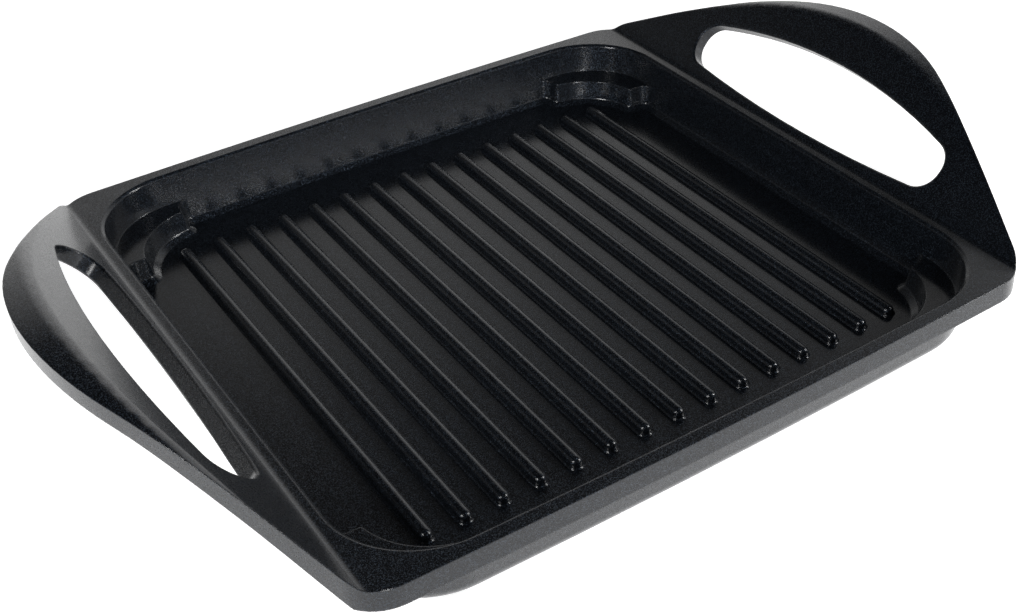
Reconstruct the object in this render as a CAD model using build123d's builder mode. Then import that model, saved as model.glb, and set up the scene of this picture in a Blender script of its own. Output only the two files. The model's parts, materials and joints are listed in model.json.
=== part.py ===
from build123d import *
import os
from math import cos, radians, sin, sqrt, tan

# Square cast-aluminium grill pan with two loop handles, in millimetres.
# The origin is the centre of the flat base, +X runs towards one handle and +Z is up.

# Heights
rim_height = 28.5
floor_thickness = 4.0
skirt_height = 8.8
ledge_height = 11.0

# Cooking well, measured at the rim
well_half = 140.0
well_corner = 36.5
side_radius = 4450.0
wall_draft = 10.4
well_mouth_bevel = 1.0
floor_bevel = 2.2

# Lower body, measured under the rim
wall_thickness = 3.6
body_draft = 11.0
base_edge_radius = 9.0

# Rim
rim_width_side = 6.4
rim_width_end = 5.1
rim_corner_radius = 19.0

# Ribs
rib_count = 15
rib_pitch = 15.45
rib_length = 221.0
rib_width = 5.4
rib_height = 4.0

# Corner ledges
ledge_reach = 39.5
ledge_arc_inset = 44.6
ledge_arc_radius = 32.5
ledge_draft = 13.0
ledge_end_radius = 1.2
ledge_heel_radius = 6.0

# Handles
handle_rise_angle = 45.0
handle_reach = 52.7
handle_arc_radius = 128.0
flank_angle = 24.4
crest_height = 41.3
lip_arch_radius = 240.0
lip_straight_from = 75.0
lip_thickness = 7.7
under_rise_angle = 48.2
under_start = 2.8
crease_radius = 4.0
crest_radius = 8.0
under_crest_radius = 14.0

# Hand holes, measured up the slope of the handle
hole_half_length = 82.4
hole_start = 3.7
hole_end = 39.1
hole_start_radius = 760.0
hole_end_radius = 280.0
hole_corner_radius = 10.5
hole_edge_bevel = 0.7

# Induction plate let into the underside
plate_size = 226.0
plate_corner = 14.0
plate_thickness = 1.0
plate_hole_width = 14.0
plate_hole_spacing = 42.0
plate_hole_rows = 5
plate_clearance = 0.1

# Spare stock round the blocks that the outline trims
side_stock = 2.0
end_stock = 20.0
under_stock = 5.0

# Sizes that follow from the ones above
crease_x = well_half + rim_width_end
side_y = well_half + rim_width_side
skirt_z = rim_height - skirt_height
ledge_z = floor_thickness + ledge_height
rise = tan(radians(handle_rise_angle))
under_rise = tan(radians(under_rise_angle))
wall_slope = tan(radians(wall_draft))
stud_width = plate_hole_width - 2 * plate_clearance
block_half_width = side_y + side_stock
block_half_length = crease_x + handle_reach + end_stock


def side_bow(half, reach):
    """How far a bowed side at this distance from the centre falls back at a reach along it."""
    radius = side_radius + half - well_half
    return radius - sqrt(radius**2 - reach**2)


def bowed_square(half, corner):
    """Square with rounded corners whose sides facing -Y and +Y bow outwards."""
    bow = side_bow(half, half)
    with BuildSketch() as shape:
        with BuildLine():
            front = ThreePointArc((-half, bow - half), (0, -half), (half, bow - half))
            back = ThreePointArc((half, half - bow), (0, half), (-half, half - bow))
            Line(front @ 1, back @ 0)
            Line(back @ 1, front @ 0)
        make_face()
        fillet(shape.vertices(), corner)
    return shape.sketch


def arched_area(apex_z, bottom_z):
    """Area under the arch of a handle, seen along X: an arc with straight tangent ends."""
    rise_left = sqrt(lip_arch_radius**2 - lip_straight_from**2)
    shoulder_z = apex_z - lip_arch_radius + rise_left
    slope = lip_straight_from / rise_left
    end_z = shoulder_z - slope * (block_half_width - lip_straight_from)
    with BuildSketch() as shape:
        with BuildLine():
            crown = ThreePointArc(
                (-lip_straight_from, shoulder_z), (0, apex_z), (lip_straight_from, shoulder_z)
            )
            Polyline(
                crown @ 1,
                (block_half_width, end_z),
                (block_half_width, bottom_z),
                (-block_half_width, bottom_z),
                (-block_half_width, end_z),
                crown @ 0,
            )
        make_face()
    return shape.sketch


def on_ledge_arc(corner):
    """True for a corner of the well that lies on the hollow arc of a ledge."""
    offset_x = abs(corner.X) - well_half + ledge_arc_inset
    offset_y = abs(corner.Y) - well_half + ledge_arc_inset
    return abs(sqrt(offset_x**2 + offset_y**2) - ledge_arc_radius) < 0.01


def slanted_crests(solid):
    """Edges that run along Y while climbing, where a ramp meets the arch."""
    spans = [(edge, edge.bounding_box().size) for edge in solid.edges()]
    return [edge for edge, span in spans if span.Y > 1 and span.Z > 1 and span.X > 1]


# Space under both handles: a steeper ramp cut off by the same arch, one lip thickness lower
space_z = skirt_z - under_stock
under_length = block_half_length - crease_x - under_start
with BuildPart() as handle_space:
    with BuildSketch(Plane.XZ):
        with BuildLine():
            Polyline(
                (crease_x + under_start + (space_z - skirt_z) / under_rise, space_z),
                (block_half_length, skirt_z + under_length * under_rise),
                (block_half_length, space_z),
                close=True,
            )
        make_face()
        mirror(about=Plane.YZ)
    extrude(amount=block_half_width, both=True)
    with BuildSketch(Plane.YZ):
        add(arched_area(rim_height + crest_height - lip_thickness, space_z))
    extrude(amount=block_half_length, both=True, mode=Mode.INTERSECT)
    fillet(slanted_crests(handle_space.part), under_crest_radius)

# Outline of rim and handles in plan
corner_y = side_y - side_bow(side_y, well_half)
flank = radians(flank_angle)
flank_start_x = crease_x + handle_reach - handle_arc_radius * (1 - cos(flank))
flank_start_y = handle_arc_radius * sin(flank)
corner_x = flank_start_x - (corner_y - flank_start_y) * tan(flank)
with BuildSketch() as outline:
    with BuildLine():
        front_edge = ThreePointArc((-corner_x, -corner_y), (0, -side_y), (corner_x, -corner_y))
        right_tip = ThreePointArc(
            (flank_start_x, -flank_start_y),
            (crease_x + handle_reach, 0),
            (flank_start_x, flank_start_y),
        )
        back_edge = ThreePointArc((corner_x, corner_y), (0, side_y), (-corner_x, corner_y))
        left_tip = ThreePointArc(
            (-flank_start_x, flank_start_y),
            (-crease_x - handle_reach, 0),
            (-flank_start_x, -flank_start_y),
        )
        Line(front_edge @ 1, right_tip @ 0)
        Line(right_tip @ 1, back_edge @ 0)
        Line(back_edge @ 1, left_tip @ 0)
        Line(left_tip @ 1, front_edge @ 0)
    make_face()
    fillet(outline.vertices().filter_by_position(Axis.Y, -side_y, -corner_y + 1), rim_corner_radius)
    fillet(outline.vertices().filter_by_position(Axis.Y, corner_y - 1, side_y), rim_corner_radius)

# One rib: a round-topped bar with ends rounded in plan, standing on the floor
rib_radius = rib_width / 2
with BuildPart() as rib:
    with BuildSketch(Plane.XZ):
        with BuildLine():
            crown = ThreePointArc(
                (-rib_radius, rib_height - rib_radius),
                (0, rib_height),
                (rib_radius, rib_height - rib_radius),
            )
            Polyline(crown @ 1, (rib_radius, 0), (-rib_radius, 0), crown @ 0)
        make_face()
    extrude(amount=rib_length / 2, both=True)
    with BuildSketch():
        SlotOverall(rib_length, rib_width, rotation=90)
    extrude(amount=rib_height, mode=Mode.INTERSECT)

with BuildPart() as pan_casting:
    # Rim slab with a ramp at each end
    with BuildSketch(Plane.XZ) as side_view:
        with BuildLine():
            Polyline(
                (0, rim_height),
                (crease_x, rim_height),
                (block_half_length, rim_height + (block_half_length - crease_x) * rise),
                (block_half_length, skirt_z),
                (0, skirt_z),
                close=True,
            )
        make_face()
        mirror(about=Plane.YZ)
        creases = side_view.vertices().filter_by_position(Axis.Y, rim_height - 0.1, rim_height + 0.1)
        fillet(creases.filter_by(lambda corner: abs(corner.X) > 1), crease_radius)
    extrude(amount=block_half_width, both=True)
    with BuildSketch(Plane.YZ):
        add(arched_area(rim_height + crest_height, skirt_z))
    extrude(amount=block_half_length, both=True, mode=Mode.INTERSECT)
    fillet(slanted_crests(pan_casting.part), crest_radius)
    add(handle_space.part, mode=Mode.SUBTRACT)
    with BuildSketch(Plane.XY.offset(skirt_z)):
        add(outline.sketch)
    extrude(amount=block_half_length, mode=Mode.INTERSECT)

    # Holes through the handles, square to their slope
    start_sag = hole_start_radius - sqrt(hole_start_radius**2 - hole_half_length**2)
    end_sag = hole_end_radius - sqrt(hole_end_radius**2 - hole_half_length**2)
    for side in (-1, 1):
        slope_plane = Plane(
            origin=(side * crease_x, 0, rim_height),
            x_dir=(side, 0, rise),
            z_dir=(-side * rise, 0, 1),
        )
        with BuildSketch(slope_plane) as hand_hole:
            with BuildLine():
                inner = ThreePointArc(
                    (hole_start + start_sag, -hole_half_length),
                    (hole_start, 0),
                    (hole_start + start_sag, hole_half_length),
                )
                outer = ThreePointArc(
                    (hole_end - end_sag, hole_half_length),
                    (hole_end, 0),
                    (hole_end - end_sag, -hole_half_length),
                )
                Line(inner @ 1, outer @ 0)
                Line(outer @ 1, inner @ 0)
            make_face()
            fillet(hand_hole.vertices(), hole_corner_radius)
        extrude(amount=hole_end, both=True, mode=Mode.SUBTRACT)
        slope_normal = Axis((0, 0, 0), slope_plane.z_dir)
        hole_edges = pan_casting.edges(Select.LAST).filter_by(slope_normal, reverse=True)
        chamfer(hole_edges, hole_edge_bevel)

    # Body below the rim, tapering to the rounded base
    body_half = well_half - skirt_height * wall_slope + wall_thickness
    body_corner = well_corner - skirt_height * wall_slope + wall_thickness
    with BuildSketch(Plane.XY.offset(skirt_z)):
        add(bowed_square(body_half, body_corner))
    extrude(amount=-skirt_z, taper=body_draft)
    fillet(pan_casting.faces().sort_by(Axis.Z)[0].edges(), base_edge_radius)

    # Upper half of the well, down to the corner ledges
    ledge_depth = rim_height - ledge_z
    with BuildSketch(Plane.XY.offset(rim_height)):
        add(bowed_square(well_half, well_corner))
    extrude(amount=-ledge_depth, taper=wall_draft, mode=Mode.SUBTRACT)
    mouth_edges = pan_casting.edges(Select.LAST).filter_by_position(
        Axis.Z, rim_height - 0.01, rim_height + 0.01
    )
    chamfer(mouth_edges, well_mouth_bevel)

    # Lower half, which leaves a stepped ledge standing in every corner
    mid_half = well_half - ledge_depth * wall_slope
    mid_corner = well_corner - ledge_depth * wall_slope
    ledge_start = well_half - ledge_reach
    arc_centre = well_half - ledge_arc_inset
    with BuildSketch(Plane.XY.offset(ledge_z)) as lower_well:
        add(bowed_square(mid_half, mid_corner))
        with GridLocations(2 * (ledge_start + ledge_reach), 2 * (ledge_start + ledge_reach), 2, 2):
            Rectangle(2 * ledge_reach, 2 * ledge_reach, mode=Mode.SUBTRACT)
        with GridLocations(2 * arc_centre, 2 * arc_centre, 2, 2):
            Circle(ledge_arc_radius)
        heels = lower_well.vertices().filter_by(on_ledge_arc, reverse=True)
        fillet(heels, ledge_heel_radius)
        tips = lower_well.vertices().filter_by(on_ledge_arc)
        fillet(tips, ledge_end_radius)
    extrude(amount=-ledge_height, taper=ledge_draft, mode=Mode.SUBTRACT)
    floor_edges = pan_casting.edges(Select.LAST).filter_by_position(
        Axis.Z, floor_thickness - 0.01, floor_thickness + 0.01
    )
    chamfer(floor_edges, floor_bevel)

    # Ribs along the floor
    with Locations((0, 0, floor_thickness)):
        with GridLocations(rib_pitch, 0, rib_count, 1):
            add(rib.part)

    # Recess for the induction plate, with a stud of the casting through each of its holes
    with BuildSketch() as recess:
        RectangleRounded(
            plate_size + 2 * plate_clearance,
            plate_size + 2 * plate_clearance,
            plate_corner + plate_clearance,
        )
        with GridLocations(plate_hole_spacing, plate_hole_spacing, plate_hole_rows, plate_hole_rows):
            RegularPolygon(stud_width / 2, 6, major_radius=False, mode=Mode.SUBTRACT)
    extrude(amount=plate_thickness, mode=Mode.SUBTRACT)

with BuildPart() as induction_plate:
    with BuildSketch():
        RectangleRounded(plate_size, plate_size, plate_corner)
        with GridLocations(plate_hole_spacing, plate_hole_spacing, plate_hole_rows, plate_hole_rows):
            RegularPolygon(plate_hole_width / 2, 6, major_radius=False, mode=Mode.SUBTRACT)
    extrude(amount=plate_thickness)

os.makedirs("parts", exist_ok=True)
pan_casting.part.label = "pan_casting"
export_step(pan_casting.part, "parts/pan_casting.step")
induction_plate.part.label = "induction_base_plate"
export_step(induction_plate.part, "parts/induction_base_plate.step")
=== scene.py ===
import json
from math import cos, radians, sin

import bmesh
import bpy
import numpy as np
from mathutils import Matrix, Vector

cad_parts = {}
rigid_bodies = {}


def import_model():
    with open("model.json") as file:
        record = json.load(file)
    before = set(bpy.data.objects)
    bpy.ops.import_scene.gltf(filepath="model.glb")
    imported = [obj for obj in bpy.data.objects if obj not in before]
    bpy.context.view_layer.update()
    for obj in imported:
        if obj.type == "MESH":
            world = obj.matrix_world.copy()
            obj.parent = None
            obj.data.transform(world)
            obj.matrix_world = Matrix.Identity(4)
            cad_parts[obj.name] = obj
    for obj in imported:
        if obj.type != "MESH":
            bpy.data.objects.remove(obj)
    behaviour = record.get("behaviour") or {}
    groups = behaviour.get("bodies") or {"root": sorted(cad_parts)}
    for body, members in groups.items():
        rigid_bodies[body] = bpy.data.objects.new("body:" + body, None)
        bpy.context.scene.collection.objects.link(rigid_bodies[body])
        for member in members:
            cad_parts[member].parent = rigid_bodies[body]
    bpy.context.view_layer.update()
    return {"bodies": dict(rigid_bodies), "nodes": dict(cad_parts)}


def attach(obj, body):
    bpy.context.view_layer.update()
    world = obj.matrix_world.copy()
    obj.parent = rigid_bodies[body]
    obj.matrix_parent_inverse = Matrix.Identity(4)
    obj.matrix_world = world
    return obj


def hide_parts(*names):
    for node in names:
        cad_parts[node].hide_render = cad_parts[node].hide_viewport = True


# Ribs, in metres
RIB_COUNT = 15
RIB_PITCH = 0.01545
RIB_LENGTH = 0.221
RIB_WIDTH = 0.0054
RIB_HEIGHT = 0.004
RIB_BED = 0.0004
FOOT_CURVE = 0.0007
FLOOR_Z = 0.004

# Rows of points up the foot and the crown of a rib, and round each of its ends
FOOT_ROWS = 5
CROWN_ROWS = 9
END_POINTS = 13

# Casting: points this close are one, and edges flatter than this are shaded smooth
MERGE = 2e-6
SMOOTH_BELOW = radians(24.0)

# Coating: flakes to the metre, from the darkest to the brightest, and the rounding of its edges in metres
FLAKES_PER_METRE = 3200.0
FLAKE_TONES = [
    (0.0, (0.0026, 0.0030, 0.0038)),
    (0.70, (0.0070, 0.0088, 0.0122)),
    (1.0, (0.028, 0.037, 0.050)),
]
FLAKE_METAL = 0.6
FLAKE_LEAN = 0.50
FLAKE_ROUGHNESS = 0.42
COAT_WEIGHT = 0.85
COAT_ROUGHNESS = [(0.25, 0.15), (0.75, 0.19)]
COAT_MOTTLES_PER_METRE = 260.0
EDGE_ROUNDING = 0.0009

# Base plate: steel with brushed lines, close together across X and long in Y and Z
STEEL_TONES = [(0.3, (0.42, 0.42, 0.43)), (0.7, (0.60, 0.60, 0.61))]
STEEL_ROUGHNESS = [(0.3, 0.30), (0.7, 0.44)]
BRUSH_LINES = (2600.0, 40.0, 40.0)

# Studio: backdrop's brightness from straight down to straight up, and from the left to the right
BACKDROP_BY_HEIGHT = [(0.0, 1.0), (0.44, 0.92), (0.50, 0.75), (0.575, 0.48), (0.635, 0.04), (1.0, 0.02)]
BACKDROP_BY_SIDE = [(0.0, 0.30), (0.42, 0.18), (0.55, 0.50), (0.68, 1.0)]
WHITE = (1.0, 1.0, 1.0, 1.0)
PALE = (0.93, 0.93, 0.93, 1.0)
FLOOR_HALF = 3.0
FLOOR_LEVEL = -0.0003
FLOOR_GLOW = 0.6
SOFTBOX_SIDE = 0.30

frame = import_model()
body = next(iter(frame["bodies"]))


def node_tree(material):
    """A material's shader nodes, and its surface shader among them."""
    material.use_nodes = True
    tree = material.node_tree
    return tree, tree.nodes["Principled BSDF"]


def add_node(tree, kind, **settings):
    """One node with its settings; a setting named in_X goes to the input called X."""
    made = tree.nodes.new(kind)
    for key, value in settings.items():
        if key.startswith("in_"):
            made.inputs[key[3:].replace("_", " ")].default_value = value
        else:
            setattr(made, key, value)
    return made


def value_ramp(tree, source, stops):
    """Colour ramp on a value; stops are (position, grey or colour)."""
    ramp = tree.nodes.new("ShaderNodeValToRGB")
    points = ramp.color_ramp.elements
    while len(points) < len(stops):
        points.new(0.5)
    for point, (place, colour) in zip(points, stops):
        point.position = place
        grey = not isinstance(colour, tuple)
        point.color = (colour, colour, colour, 1.0) if grey else (*colour, 1.0)
    tree.links.new(source, ramp.inputs["Fac"])
    return ramp.outputs["Color"]


def speckled_coating():
    """Black non-stick coating: fine blue-silver flakes, each at its own tilt, under a clear layer."""
    material = bpy.data.materials.new("speckled_coating")
    tree, shader = node_tree(material)
    link = tree.links.new
    place = add_node(tree, "ShaderNodeTexCoord").outputs["Object"]

    # Flakes: every cell has its own shade and tilt
    cells = add_node(tree, "ShaderNodeTexVoronoi", in_Scale=FLAKES_PER_METRE)
    link(place, cells.inputs["Vector"])
    split = add_node(tree, "ShaderNodeSeparateColor")
    link(cells.outputs["Color"], split.inputs["Color"])
    link(value_ramp(tree, split.outputs["Red"], FLAKE_TONES), shader.inputs["Base Color"])
    shader.inputs["Metallic"].default_value = FLAKE_METAL
    tilt = add_node(tree, "ShaderNodeVectorMath", operation="SUBTRACT")
    link(cells.outputs["Color"], tilt.inputs[0])
    tilt.inputs[1].default_value = (0.5, 0.5, 0.5)
    lean = add_node(tree, "ShaderNodeVectorMath", operation="SCALE", in_Scale=FLAKE_LEAN)
    link(tilt.outputs["Vector"], lean.inputs[0])

    # Softened edges, where the coating has rounded every corner of the casting
    edge = add_node(tree, "ShaderNodeBevel", samples=4, in_Radius=EDGE_ROUNDING)
    leaned = add_node(tree, "ShaderNodeVectorMath", operation="ADD")
    link(edge.outputs["Normal"], leaned.inputs[0])
    link(lean.outputs["Vector"], leaned.inputs[1])
    unit = add_node(tree, "ShaderNodeVectorMath", operation="NORMALIZE")
    link(leaned.outputs["Vector"], unit.inputs[0])
    link(unit.outputs["Vector"], shader.inputs["Normal"])
    shader.inputs["Roughness"].default_value = FLAKE_ROUGHNESS
    shader.inputs["Specular IOR Level"].default_value = 0.0

    # Clear layer with a faint orange-peel and slightly uneven gloss
    mottle = add_node(tree, "ShaderNodeTexNoise", in_Scale=COAT_MOTTLES_PER_METRE, in_Detail=4.0)
    link(place, mottle.inputs["Vector"])
    peel = add_node(tree, "ShaderNodeBump", in_Strength=0.06, in_Distance=0.0002)
    link(mottle.outputs["Fac"], peel.inputs["Height"])
    link(edge.outputs["Normal"], peel.inputs["Normal"])
    link(peel.outputs["Normal"], shader.inputs["Coat Normal"])
    shader.inputs["Coat Weight"].default_value = COAT_WEIGHT
    link(value_ramp(tree, mottle.outputs["Fac"], COAT_ROUGHNESS), shader.inputs["Coat Roughness"])
    return material


def brushed_plate():
    """Pressed ferritic steel with a fine brushed grain along Y."""
    material = bpy.data.materials.new("brushed_plate")
    tree, shader = node_tree(material)
    link = tree.links.new
    shader.inputs["Metallic"].default_value = 1.0
    place = add_node(tree, "ShaderNodeTexCoord").outputs["Object"]
    stretch = add_node(tree, "ShaderNodeMapping", in_Scale=BRUSH_LINES)
    link(place, stretch.inputs["Vector"])
    lines = add_node(tree, "ShaderNodeTexNoise", in_Scale=1.0, in_Detail=4.0)
    link(stretch.outputs["Vector"], lines.inputs["Vector"])
    link(value_ramp(tree, lines.outputs["Fac"], STEEL_TONES), shader.inputs["Base Color"])
    link(value_ramp(tree, lines.outputs["Fac"], STEEL_ROUGHNESS), shader.inputs["Roughness"])
    grain = add_node(tree, "ShaderNodeBump", in_Strength=0.15, in_Distance=0.0001)
    link(lines.outputs["Fac"], grain.inputs["Height"])
    link(grain.outputs["Normal"], shader.inputs["Normal"])
    return material


def smooth_casting(node, material):
    """The casting's own shape as one closed mesh without its ribs: corners merged, curves shaded smooth."""
    work = bmesh.new()
    work.from_mesh(node.data)
    bmesh.ops.remove_doubles(work, verts=work.verts, dist=MERGE)

    # The ribs come off, and the floor closes over the gaps that they leave
    reach = 0.5 * RIB_LENGTH + RIB_BED
    rib_faces = []
    for face in work.faces:
        middle = face.calc_center_median()
        over_floor = FLOOR_Z + MERGE < middle.z < FLOOR_Z + RIB_HEIGHT
        if over_floor and abs(middle.x) < reach and abs(middle.y) < reach:
            rib_faces.append(face)
    bmesh.ops.delete(work, geom=rib_faces, context="FACES")
    open_edges = [edge for edge in work.edges if len(edge.link_faces) == 1]
    bmesh.ops.holes_fill(work, edges=open_edges, sides=0)

    for edge in work.edges:
        edge.smooth = edge.calc_face_angle(0.0) < SMOOTH_BELOW
    for face in work.faces:
        face.smooth = True
    shape = bpy.data.meshes.new("coated_pan")
    work.to_mesh(shape)
    work.free()
    shape.attributes.remove(shape.attributes["custom_normal"])
    shape.materials.append(material)
    pan = bpy.data.objects.new("coated_pan", shape)
    bpy.context.scene.collection.objects.link(pan)
    soften = pan.modifiers.new("even_normals", "WEIGHTED_NORMAL")
    soften.mode = "FACE_AREA_WITH_ANGLE"
    soften.keep_sharp = True
    return pan


def rib_forms(material):
    """Ribs with domed ends: one profile carried round a stadium and closed along the crest.

    A point stands at distance d from the rib's middle line and height h over the floor. From the foot
    up, d = r + f (1 - sin a) and h = f (1 - cos a) for a foot curve f; then d = r cos b and
    h = top - r (1 - sin b), a half round of radius r. Round each end the profile turns about a point.
    """
    radius = 0.5 * RIB_WIDTH
    quarter = 0.5 * np.pi
    foot = np.linspace(0.0, quarter, FOOT_ROWS)
    crown = np.linspace(0.0, quarter, CROWN_ROWS)
    distance = np.concatenate(
        [[radius + FOOT_CURVE], radius + FOOT_CURVE * (1.0 - np.sin(foot)), radius * np.cos(crown)]
    )
    height = np.concatenate(
        [[-RIB_BED], FOOT_CURVE * (1.0 - np.cos(foot)), RIB_HEIGHT - radius * (1.0 - np.sin(crown))]
    )
    turn = np.concatenate([np.linspace(0.0, np.pi, END_POINTS), np.linspace(np.pi, 2.0 * np.pi, END_POINTS)])
    end_y = np.repeat([1.0, -1.0], END_POINTS) * (0.5 * RIB_LENGTH - radius)
    place_x = (np.arange(RIB_COUNT) - 0.5 * (RIB_COUNT - 1)) * RIB_PITCH

    # Points stand in rib, row and turn; sides join each row to the next and feet close the bottom
    x = place_x[:, None, None] + distance[None, :, None] * np.cos(turn)
    y = end_y + distance[None, :, None] * np.sin(turn) + 0.0 * x
    z = FLOOR_Z + height[None, :, None] + 0.0 * x
    points = np.stack([x, y, z], axis=-1).reshape(-1, 3)
    index = np.arange(len(points)).reshape(x.shape)
    after = np.roll(index, -1, axis=2)
    sides = np.stack([index[:, :-1], after[:, :-1], after[:, 1:], index[:, 1:]], axis=-1).reshape(-1, 4)
    feet = index[:, 0, ::-1]
    shape = bpy.data.meshes.new("grill_ribs")
    shape.from_pydata(points.tolist(), [], sides.tolist() + feet.tolist())

    # The last row's points meet on the crest, where they become one
    work = bmesh.new()
    work.from_mesh(shape)
    bmesh.ops.remove_doubles(work, verts=work.verts, dist=MERGE)
    for face in work.faces:
        face.smooth = True
    work.to_mesh(shape)
    work.free()
    shape.materials.append(material)
    ribs = bpy.data.objects.new("grill_ribs", shape)
    bpy.context.scene.collection.objects.link(ribs)
    return ribs


coating = speckled_coating()
pan = smooth_casting(frame["nodes"]["pan_casting"], coating)
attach(pan, body)
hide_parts("pan_casting")
ribs = rib_forms(coating)
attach(ribs, body)

plate = frame["nodes"]["induction_base_plate"]
steel = brushed_plate()
for place in plate.material_slots:
    place.material = steel


def studio_floor():
    """Pale floor that keeps the pan's shadow, a hair below the base so that the two never coincide."""
    half = FLOOR_HALF
    level = FLOOR_LEVEL
    shape = bpy.data.meshes.new("studio_floor")
    corners = [(-half, -half, level), (half, -half, level), (half, half, level), (-half, half, level)]
    shape.from_pydata(corners, [], [(0, 1, 2, 3)])
    floor = bpy.data.objects.new("studio_floor", shape)
    bpy.context.scene.collection.objects.link(floor)
    material = bpy.data.materials.new("white_floor")
    tree, shader = node_tree(material)
    link = tree.links.new
    shader.inputs["Base Color"].default_value = PALE
    shader.inputs["Roughness"].default_value = 0.9
    shader.inputs["Specular IOR Level"].default_value = 0.0
    shader.inputs["Emission Color"].default_value = WHITE
    rays = add_node(tree, "ShaderNodeLightPath")
    seen = add_node(tree, "ShaderNodeMath", operation="MAXIMUM")
    link(rays.outputs["Is Camera Ray"], seen.inputs[0])
    link(rays.outputs["Is Glossy Ray"], seen.inputs[1])
    glow = add_node(tree, "ShaderNodeMath", operation="MULTIPLY")
    link(seen.outputs["Value"], glow.inputs[0])
    glow.inputs[1].default_value = FLOOR_GLOW
    link(glow.outputs["Value"], shader.inputs["Emission Strength"])
    shape.materials.append(material)


def softbox(name, place, power):
    """Square softbox at a place, turned to the middle of the pan."""
    light = bpy.data.lights.new(name, "AREA")
    light.shape = "RECTANGLE"
    light.size = SOFTBOX_SIDE
    light.size_y = SOFTBOX_SIDE
    light.energy = power
    lamp = bpy.data.objects.new(name, light)
    turn = (-Vector(place)).to_track_quat("-Z", "Y")
    lamp.matrix_world = Matrix.Translation(place) @ turn.to_matrix().to_4x4()
    bpy.context.scene.collection.objects.link(lamp)


def studio_world():
    """Backdrop white up to a third overhead, fading to the left and dark above; white to the camera."""
    world = bpy.data.worlds.new("studio")
    bpy.context.scene.world = world
    world.use_nodes = True
    tree = world.node_tree
    link = tree.links.new
    split = add_node(tree, "ShaderNodeSeparateXYZ")
    link(add_node(tree, "ShaderNodeTexCoord").outputs["Generated"], split.inputs["Vector"])
    by_height = value_ramp(tree, split.outputs["Z"], BACKDROP_BY_HEIGHT)
    across = add_node(tree, "ShaderNodeMapRange", in_From_Min=-1.0, in_From_Max=1.0)
    link(split.outputs["X"], across.inputs["Value"])
    by_side = value_ramp(tree, across.outputs["Result"], BACKDROP_BY_SIDE)
    backdrop = add_node(tree, "ShaderNodeMix", data_type="RGBA", blend_type="MULTIPLY")
    backdrop.inputs["Factor"].default_value = 1.0
    link(by_height, backdrop.inputs[6])
    link(by_side, backdrop.inputs[7])
    seen = add_node(tree, "ShaderNodeMix", data_type="RGBA")
    link(add_node(tree, "ShaderNodeLightPath").outputs["Is Camera Ray"], seen.inputs["Factor"])
    link(backdrop.outputs[2], seen.inputs[6])
    seen.inputs[7].default_value = WHITE
    link(seen.outputs[2], tree.nodes["Background"].inputs["Color"])


def photo_camera():
    """Camera at the photograph's own place, found from the rim, ribs and handles."""
    place = (-0.2525, -0.4395, 0.3569)
    turn = radians(-34.86)
    height = radians(35.73)
    roll = radians(-1.27)
    back = Vector((sin(turn) * cos(height), -cos(turn) * cos(height), sin(height)))
    level = (-back).cross(Vector((0.0, 0.0, 1.0))).normalized()
    upright = back.cross(level)
    right = cos(roll) * level + sin(roll) * upright
    up = cos(roll) * upright - sin(roll) * level
    axes = Matrix((right, up, back)).transposed().to_4x4()
    lens = bpy.data.cameras.new("photo_camera")
    lens.sensor_width = 36.0
    lens.lens = 50.92
    lens.shift_x = -0.1161
    lens.shift_y = -0.0052
    lens.clip_start = 0.01
    camera = bpy.data.objects.new("photo_camera", lens)
    camera.matrix_world = Matrix.Translation(place) @ axes
    bpy.context.scene.collection.objects.link(camera)
    bpy.context.scene.camera = camera


studio_floor()
studio_world()
softbox("left_softbox", (-1.15, -0.35, 0.80), 9.0)
softbox("right_softbox", (1.10, -0.75, 0.75), 10.0)
softbox("front_softbox", (-0.50, -1.25, 0.52), 13.0)
photo_camera()
bpy.context.scene.view_settings.view_transform = "Standard"
